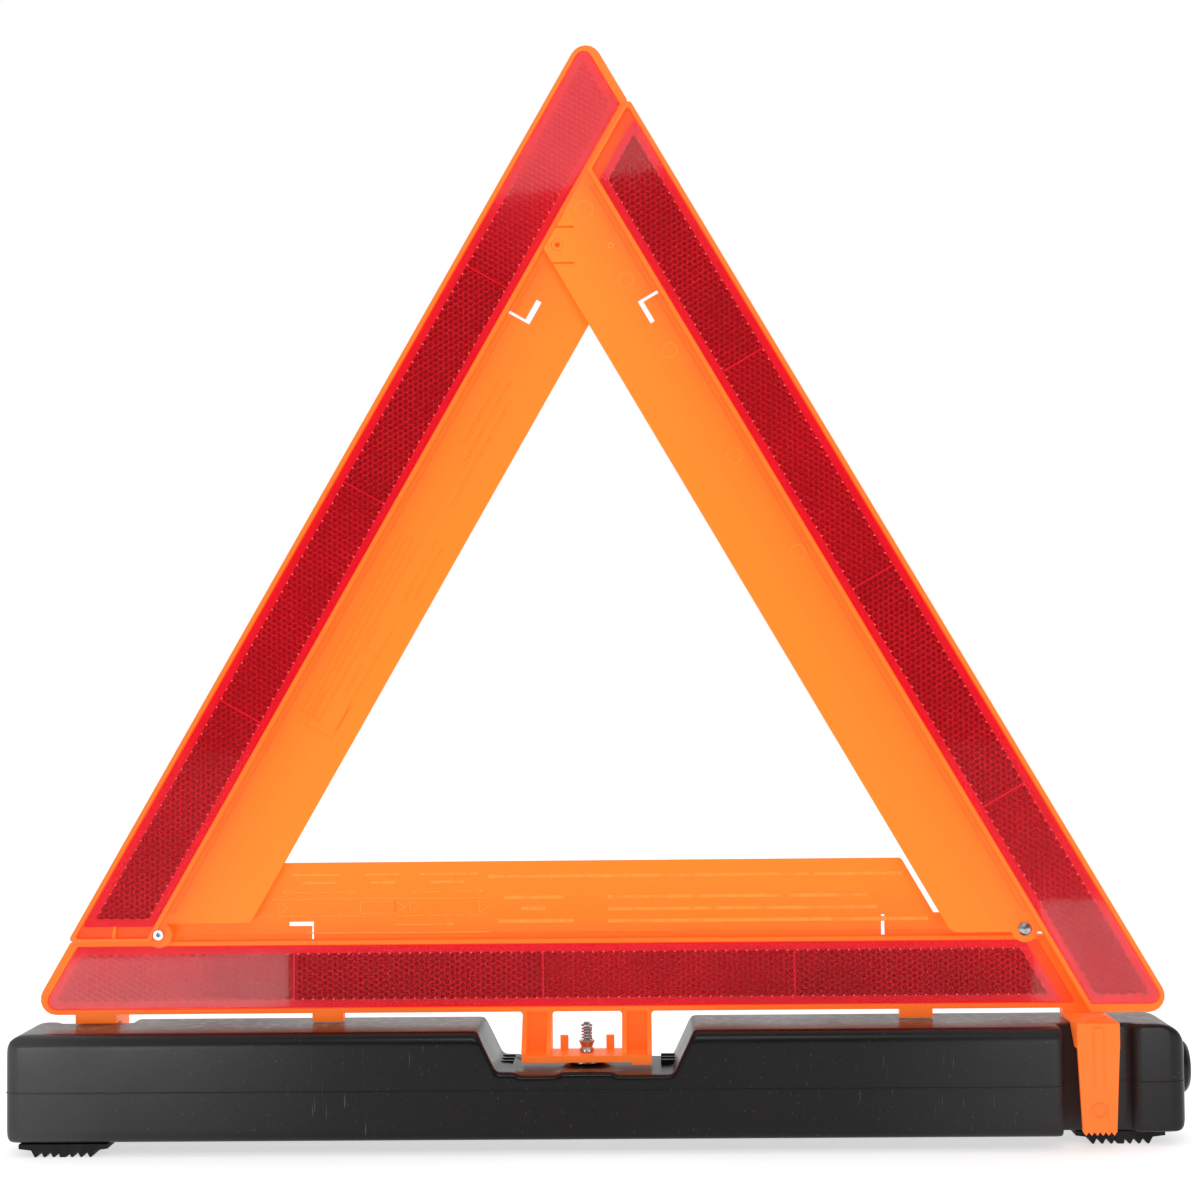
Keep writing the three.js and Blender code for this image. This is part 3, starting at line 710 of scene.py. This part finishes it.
def lens_margin(bar, side):
    """The smooth border, the dividers and the row of small dots along each long edge of the prisms, coloured
    with a painted glint.
    """
    plane = bar_plane(bar) @ Matrix.Diagonal((1, -side, 1, 1))
    bm = bmesh.new()
    painted_glint = bm.verts.layers.float.new("painted_glint")
    outer = lens_outline(0.1)
    inner = lens_outline(MARGIN, (1.0, 0.5, 0.5, 0.5))
    rings = []
    for points, y in ((outer, MARGIN_FACE), (inner, MARGIN_FACE), (inner, PRISM_DEEP)):
        rings.append([bm.verts.new(plane @ Vector((u, y, v))) for u, v in points])
    for ring, following in zip(rings, rings[1:]):
        for i in range(len(ring)):
            j = (i + 1) % len(ring)
            bm.faces.new((ring[i], ring[j], following[j], following[i]))
    low = LENS_INSET["outer"] + MARGIN
    high = LENS_BAND - LENS_INSET["inner"] - MARGIN
    half = DIVIDER_WIDTH / 2
    for u in DIVIDERS:
        strip = [(u - half, low - 0.2), (u + half, low - 0.2), (u + half, high + 0.2), (u - half, high + 0.2)]
        add_slab(bm, strip, PRISM_DEEP, MARGIN_FACE + 0.03, plane)
    plain = len(bm.verts)
    for v in (low + 0.3, high - 0.3):
        near, far = field_limits(v)
        for k in range(int((far - near) / DOT_PITCH)):
            place = plane @ Matrix.Translation((near + 1.5 + k * DOT_PITCH, MARGIN_FACE, v))
            add_lathe(bm, [(DOT_RADIUS, -0.2), (DOT_RADIUS, 0), (0, 0.12)], 6, place)
    # The small dots are marked for their painted glint.
    for number, vert in enumerate(bm.verts):
        vert[painted_glint] = 1.0 if number >= plain else 0.0
    name = f"{bar}_margin_{face_name(side)}"
    add_piece(name, finished(bm, name), MARGIN_RED[bar], bar)


def lens_cover(bar, side):
    """The clear cover, which stands for the CAD lens."""
    plane = bar_plane(bar) @ Matrix.Diagonal((1, -side, 1, 1))
    face = face_name(side)
    bm = bmesh.new()
    add_slab(bm, lens_outline(), COVER_BACK, COVER_FACE, plane, 0.35)
    cover = add_piece(f"{bar}_cover_{face}", finished(bm, "cover"), COVER[bar], bar)
    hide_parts(f"{bar}_lens_{face}")


# Base


def outer_shell():
    """The base's outside as one soft-edged skin, with the filler hole and the inside closed."""
    source = frame["nodes"]["base_shell"]
    bm = bmesh.new()
    bm.from_mesh(source.data)
    bm.from_mesh(frame["nodes"]["sand_ballast"].data)
    bmesh.ops.remove_doubles(bm, verts=bm.verts, dist=2e-6)
    low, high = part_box("filler_plug")
    middle = (low + high) / 2
    radius = (high.z - low.z) / 2
    across = Matrix.Rotation(math.radians(90), 4, "Y")
    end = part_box("base_shell")[1].x - FILLER_CAP["inset"] * MM
    place = Matrix.Translation((end, middle.y, middle.z)) @ across
    depth = FILLER_CAP["depth"] * MM
    bmesh.ops.create_cone(
        bm, cap_ends=True, segments=32, radius1=radius, radius2=radius, depth=depth, matrix=place)
    mesh = bpy.data.meshes.new("base_skin")
    bm.to_mesh(mesh)
    bm.free()
    draft = bpy.data.objects.new("base_skin_draft", mesh)
    bpy.context.scene.collection.objects.link(draft)
    remesh = draft.modifiers.new("skin", "REMESH")
    remesh.mode = "VOXEL"
    remesh.voxel_size = BASE_VOXEL * MM
    soften = draft.modifiers.new("soften", "SMOOTH")
    soften.factor = 0.5
    soften.iterations = BASE_SOFTENING
    ready = bpy.data.meshes.new_from_object(draft.evaluated_get(bpy.context.evaluated_depsgraph_get()))
    bpy.data.objects.remove(draft)
    return ready


def keep_largest_part(mesh):
    """Drops everything but the part with the most vertices."""
    bm = bmesh.new()
    bm.from_mesh(mesh)
    bm.verts.ensure_lookup_table()
    seen = set()
    parts = []
    for start in bm.verts:
        if start.index in seen:
            continue
        part = [start]
        seen.add(start.index)
        for vert in part:
            for edge in vert.link_edges:
                other = edge.other_vert(vert)
                if other.index not in seen:
                    seen.add(other.index)
                    part.append(other)
        parts.append(part)
    parts.sort(key=len)
    bmesh.ops.delete(bm, geom=[v for part in parts[:-1] for v in part], context="VERTS")
    for face in bm.faces:
        face.smooth = True
    bm.to_mesh(mesh)
    bm.free()
    return mesh


def base_skin():
    """The base's visible skin, which stands for the CAD shell."""
    mesh = keep_largest_part(outer_shell())
    obj = add_piece("base_skin", mesh, BLACK, "base")
    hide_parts("base_shell")
    return obj


def parting_line(skin):
    """The raised line where the two halves of the mould met: a thin ridge round the skin."""
    bm = bmesh.new()
    bm.from_mesh(skin.data)
    geometry = list(bm.verts) + list(bm.edges) + list(bm.faces)
    height = Vector((0, 0, PARTING_HEIGHT * MM))
    bmesh.ops.bisect_plane(
        bm, geom=geometry, plane_co=height, plane_no=(0, 0, 1), clear_inner=True, clear_outer=True)
    curve = bpy.data.curves.new("base_parting_line", "CURVE")
    curve.dimensions = "3D"
    curve.bevel_depth = PARTING_RADIUS * MM
    curve.bevel_resolution = 1
    for loop in edge_loops(bm):
        spline = curve.splines.new("POLY")
        spline.points.add(len(loop) - 1)
        spline.use_cyclic_u = True
        for point, place in zip(spline.points, loop):
            point.co = (*place, 1)
    bm.free()
    curve.materials.append(BLACK)
    line = bpy.data.objects.new("base_parting_line", curve)
    bpy.context.scene.collection.objects.link(line)
    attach(line, "base")


def edge_loops(bm):
    """Closed loops of places, following the edges of bm; short ones are left out."""
    loops = []
    left = set(bm.verts)
    for start in bm.verts:
        if start not in left:
            continue
        left.discard(start)
        loop = [start]
        here = start
        while True:
            others = [edge.other_vert(here) for edge in here.link_edges]
            following = next((other for other in others if other in left), None)
            if following is None:
                break
            left.discard(following)
            loop.append(following)
            here = following
        if len(loop) > SHORTEST_LOOP:
            loops.append([v.co.copy() for v in loop])
    return loops


# Marks and small parts


def right_arm_marks():
    """Ejector rings, the gate mark and the ring of the latch tongue."""
    plane = bar_plane("right_arm")
    bm = bmesh.new()
    for ring in EJECTOR_RINGS:
        add_ring_mark(bm, *ring, plane, 0.35, 0.12)
    add_ring_mark(bm, *GATE_RING, plane, 0.7, 0.3)
    add_ring_mark(bm, *LATCH_RING, plane, 0.5, 0.3)
    add_piece("right_arm_marks", finished(bm, "marks"), MARKS, "right_arm")


def add_dashes(bm, start, end, pieces, width, plane, gap=0.3, height=0.2):
    """A broken raised line of seeded random lengths, from (u, v) to (u, v)."""
    a, b = Vector(start), Vector(end)
    shares = [random.uniform(0.5, 1.5) for _ in range(pieces)]
    total = sum(shares)
    reached = 0.0
    for share in shares:
        near = a.lerp(b, (reached + gap * share / 2) / total)
        far = a.lerp(b, (reached + (1 - gap / 2) * share) / total)
        add_bar_mark(bm, tuple(near), tuple(far), width, plane, height)
        reached += share


def add_arrow(bm, tail, tip, size, plane, height=0.25):
    """A plain raised arrow from (u, v) to (u, v)."""
    a, b = Vector(tail), Vector(tip)
    along = (b - a).normalized()
    side = Vector((-along.y, along.x))
    add_bar_mark(bm, tail, tip, 0.4, plane, height)
    for way in (-1, 1):
        add_bar_mark(bm, tuple(b - along * size + side * way * size * 0.3), tip, 0.4, plane, height)


def add_outline_marks(bm, corners, plane):
    """Raised lines from corner to corner, and from the last back to the first."""
    for start, end in zip(corners, corners[1:] + corners[:1]):
        add_bar_mark(bm, start, end, 0.4, plane, 0.25)


def lower_bar_marks():
    """Plain raised lines, arrows, triangles and rows of dashes: a diagram with nothing to read."""
    plane = bar_plane("lower_bar")
    bm = bmesh.new()
    for start, end in RULES:
        add_bar_mark(bm, start, end, 0.4, plane, 0.25)
    for tail, tip in ARROWS:
        add_arrow(bm, tail, tip, 3, plane)
    add_dashes(bm, (92, 38.6), (186, 38.6), 22, 0.35, plane)
    for u, half in TRIANGLES:
        add_outline_marks(bm, [(u, 42 - half * 0.6), (u + half, 42), (u, 42 + half * 0.6)], plane)
    add_outline_marks(bm, DIAGRAM_BOX, plane)
    for v, start, end, pieces in SMALL_ROWS:
        add_dashes(bm, (start, v), (end, v), pieces, 1.1, plane)
    for v, start, end, pieces in LARGE_ROWS:
        add_dashes(bm, (start, v), (end, v), pieces, 1.9, plane, 0.5, 0.2)
    add_piece("lower_bar_marks", finished(bm, "marks"), MARKS, "lower_bar")


def left_arm_marks():
    """The faint open boxes and rows of dashes on the left panel."""
    plane = bar_plane("left_arm")
    bm = bmesh.new()
    for u0, u1, v0, v1 in LEFT_ARM_BOXES:
        for start, end in (((u0, v0), (u1, v0)), ((u0, v1), (u1, v1)), ((u1, v0), (u1, v1))):
            add_bar_mark(bm, start, end, 0.5, plane, 0.25)
    for v, start, end, pieces in LEFT_ARM_ROWS:
        add_dashes(bm, (start, v), (end, v), pieces, 1.3, plane, 0.3, 0.25)
    add_piece("left_arm_marks", finished(bm, "marks"), ORANGE["left_arm"], "left_arm")


def leg_details():
    """The rounded rib and the boss ring on each leg.

    The left leg is the right one turned half round the turn axis.
    """
    bm = bmesh.new()
    left, right = LEG_X - LEG_RIB["half"], LEG_X + LEG_RIB["half"]
    bottom, top = LEG_RIB["bottom"], LEG_RIB["top"]
    outline = rounded([(left, bottom, 2), (right, bottom, 2), (right, top, 1), (left, top, 1)])
    half_turn = Matrix.Translation((2 * TURN_X * MM, 0, 0)) @ Matrix.Rotation(math.pi, 4, "Z")
    for turn in (Matrix.Identity(4), half_turn):
        plane = turn @ Matrix.Scale(MM, 4)
        add_slab(bm, outline, LEG_FRONT + 0.2, LEG_FRONT - LEG_RIB["proud"], plane, LEG_RIB["chamfer"])
        boss = plane @ Matrix.Translation((LEG_X, LEG_FRONT, LEG_BOSS_HEIGHT))
        add_lathe(bm, LEG_BOSS_PROFILE, 24, boss)
    mesh = finished(bm, "leg_details")
    add_piece("leg_details", mesh, ORANGE["lower_bar"], "lower_bar")


def base_details():
    """The upright seam on the front face and the ribs across the waist's floor, beside the yoke."""
    bm = bmesh.new()
    world = Matrix.Scale(MM, 4)
    seam = [(SEAM_X - 0.25, 7.5), (SEAM_X + 0.25, 7.5), (SEAM_X + 0.25, 27), (SEAM_X - 0.25, 27)]
    add_slab(bm, seam, BASE_FRONT + 0.5, BASE_FRONT - 0.12, world, 0.1)
    for left, right in WAIST_RIBS["spans"]:
        for y in WAIST_RIBS["places"]:
            top = WAIST_RIBS["top"]
            rib = [(TURN_X + left, 30), (TURN_X + right, 30), (TURN_X + right, top), (TURN_X + left, top)]
            add_slab(bm, rib, y + 1.6, y, world, 0.3)
    add_piece("base_details", finished(bm, "details"), BLACK, "base")


def arm_end_rib():
    """The short rib across the channel beyond the left arm's lens."""
    bm = bmesh.new()
    rib = [(-195.6, 82.6), (-194.2, 82.6), (-193.6, 87.4), (-195.0, 87.4)]
    add_slab(bm, rib, -0.6, -2.9, Matrix.Scale(MM, 4), 0.3)
    add_piece("arm_end_rib", finished(bm, "rib"), ORANGE["left_arm"], "left_arm")


def yoke_fillets():
    """The rounded corners where the yoke's posts meet the bar."""
    bm = bmesh.new()
    world = Matrix.Scale(MM, 4)
    radius = YOKE_FILLET
    top = TRIANGLE_BOTTOM + 0.2
    for edge, way in YOKE_POST_EDGES:
        x = TURN_X + edge - way * 0.2
        arc = [math.radians(90 * step / 6) for step in range(7)]
        curve = [(x + way * radius * (1 - math.cos(a)), top - radius * (1 - math.sin(a))) for a in arc]
        add_slab(bm, [(x, top)] + curve, 9.5, 3.7, world)
    mesh = finished(bm, "fillets")
    add_piece("yoke_fillets", mesh, ORANGE["lower_bar"], "lower_bar")


def spring():
    """The pivot spring as one smooth round wire, with its end coils closed."""
    curve = bpy.data.curves.new("pivot_spring_wire", "CURVE")
    curve.dimensions = "3D"
    curve.bevel_depth = SPRING["wire"] * MM
    curve.bevel_resolution = 3
    spline = curve.splines.new("POLY")
    spline.points.add(SPRING_STEPS)
    bottom = SPRING["bottom"] + SPRING["wire"]
    rise = SPRING["top"] - SPRING["bottom"] - 2 * SPRING["wire"]
    for step, point in enumerate(spline.points):
        share = step / SPRING_STEPS
        angle = 2 * math.pi * SPRING["turns"] * share
        eased = share * share * (3 - 2 * share) * 0.35 + share * 0.65
        across = SPRING["radius"] * math.cos(angle)
        back = SPRING["radius"] * math.sin(angle)
        place = Vector((TURN_X + across, back, bottom + rise * eased))
        point.co = (*(place * MM), 1)
    curve.materials.append(STEEL)
    wire = bpy.data.objects.new("pivot_spring_wire", curve)
    bpy.context.scene.collection.objects.link(wire)
    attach(wire, "base")
    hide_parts("pivot_spring")


# Setting


def floor():
    """A plain pale floor."""
    mesh = bpy.data.meshes.new("floor")
    bm = bmesh.new()
    bmesh.ops.create_grid(bm, x_segments=1, y_segments=1, size=6)
    bm.to_mesh(mesh)
    bm.free()
    f = Finish("pale_floor", Roughness=0.9, Specular_IOR_Level=0.1, Emission_Strength=0.62)
    f.shader.inputs["Emission Color"].default_value = (1, 1, 1, 1)
    f.feed("Base Color", f.ramp(f.noise(3, 2), (0.3, srgb(224, 224, 224)), (0.7, srgb(230, 230, 230))))
    mesh.materials.append(f.material)
    obj = bpy.data.objects.new("floor", mesh)
    bpy.context.scene.collection.objects.link(obj)


def area_light(name, place, target, width, height, power, roll):
    """A rectangular light at place, pointed at target and rolled about its beam."""
    light = bpy.data.lights.new(name, "AREA")
    light.shape = "RECTANGLE"
    light.size = width
    light.size_y = height
    light.energy = power
    obj = bpy.data.objects.new(name, light)
    obj.location = place
    obj.rotation_euler = (Vector(target) - Vector(place)).to_track_quat("-Z", "Y").to_euler()
    obj.rotation_euler.rotate_axis("Z", math.radians(roll))
    bpy.context.scene.collection.objects.link(obj)


def white_room():
    """White all round, brighter behind the object than in front of it."""
    world = bpy.data.worlds.new("white_room")
    bpy.context.scene.world = world
    world.use_nodes = True
    nodes, links = world.node_tree.nodes, world.node_tree.links
    background = nodes["Background"]
    direction = nodes.new("ShaderNodeTexCoord").outputs["Generated"]
    separate = nodes.new("ShaderNodeSeparateXYZ")
    links.new(direction, separate.inputs["Vector"])
    gradient = nodes.new("ShaderNodeMapRange")
    gradient.inputs["From Min"].default_value = -0.9
    gradient.inputs["From Max"].default_value = 0.2
    gradient.inputs["To Min"].default_value = 0.12
    gradient.inputs["To Max"].default_value = 0.78
    links.new(separate.outputs["Y"], gradient.inputs["Value"])
    seen = nodes.new("ShaderNodeLightPath").outputs["Is Camera Ray"]
    strength = nodes.new("ShaderNodeMix")
    links.new(seen, strength.inputs["Factor"])
    links.new(gradient.outputs["Result"], strength.inputs["A"])
    strength.inputs["B"].default_value = 1.0
    links.new(strength.outputs["Result"], background.inputs["Strength"])
    background.inputs["Color"].default_value = (1, 1, 1, 1)


def camera():
    """At the object's front, a little above its foot, slightly turned and rolled."""
    data = bpy.data.cameras.new("camera")
    data.sensor_width = 36
    data.lens = CAMERA["lens"]
    obj = bpy.data.objects.new("camera", data)
    turn = Matrix.Rotation(math.radians(CAMERA["turn"]), 4, "Z")
    pitch = Matrix.Rotation(math.radians(CAMERA["pitch"]), 4, "X")
    roll = Matrix.Rotation(math.radians(CAMERA["roll"]), 4, "Z")
    obj.matrix_world = Matrix.Translation(CAMERA["place"]) @ turn @ pitch @ roll
    bpy.context.scene.collection.objects.link(obj)
    bpy.context.scene.camera = obj


# Build

for bar in BARS:
    refine(f"{bar}_frame", ORANGE[bar], 0)
    for side in (1, -1):
        prism_sheet(bar, side)
        lens_margin(bar, side)
        lens_cover(bar, side)

skin = base_skin()
parting_line(skin)
refine("filler_plug", BLACK, 0.3)
for foot in ("base_foot_left", "base_foot_right"):
    refine(foot, RUBBER, 0.12)
refine("sand_ballast", SAND, 0.3)
for part in ("left_pivot_rivet", "right_pivot_rivet", "left_rivet_washer", "right_rivet_washer"):
    refine(part, STEEL, 0.1)
for part in ("pivot_bolt", "bolt_washer", "yoke_washer", "spring_cup", "spring_cap"):
    refine(part, STEEL, 0.1)
spring()
right_arm_marks()
lower_bar_marks()
left_arm_marks()
leg_details()
base_details()
yoke_fillets()
arm_end_rib()

floor()
white_room()
for name, settings in LIGHTS.items():
    area_light(name, *settings)
camera()
bpy.context.scene.view_settings.view_transform = "Standard"
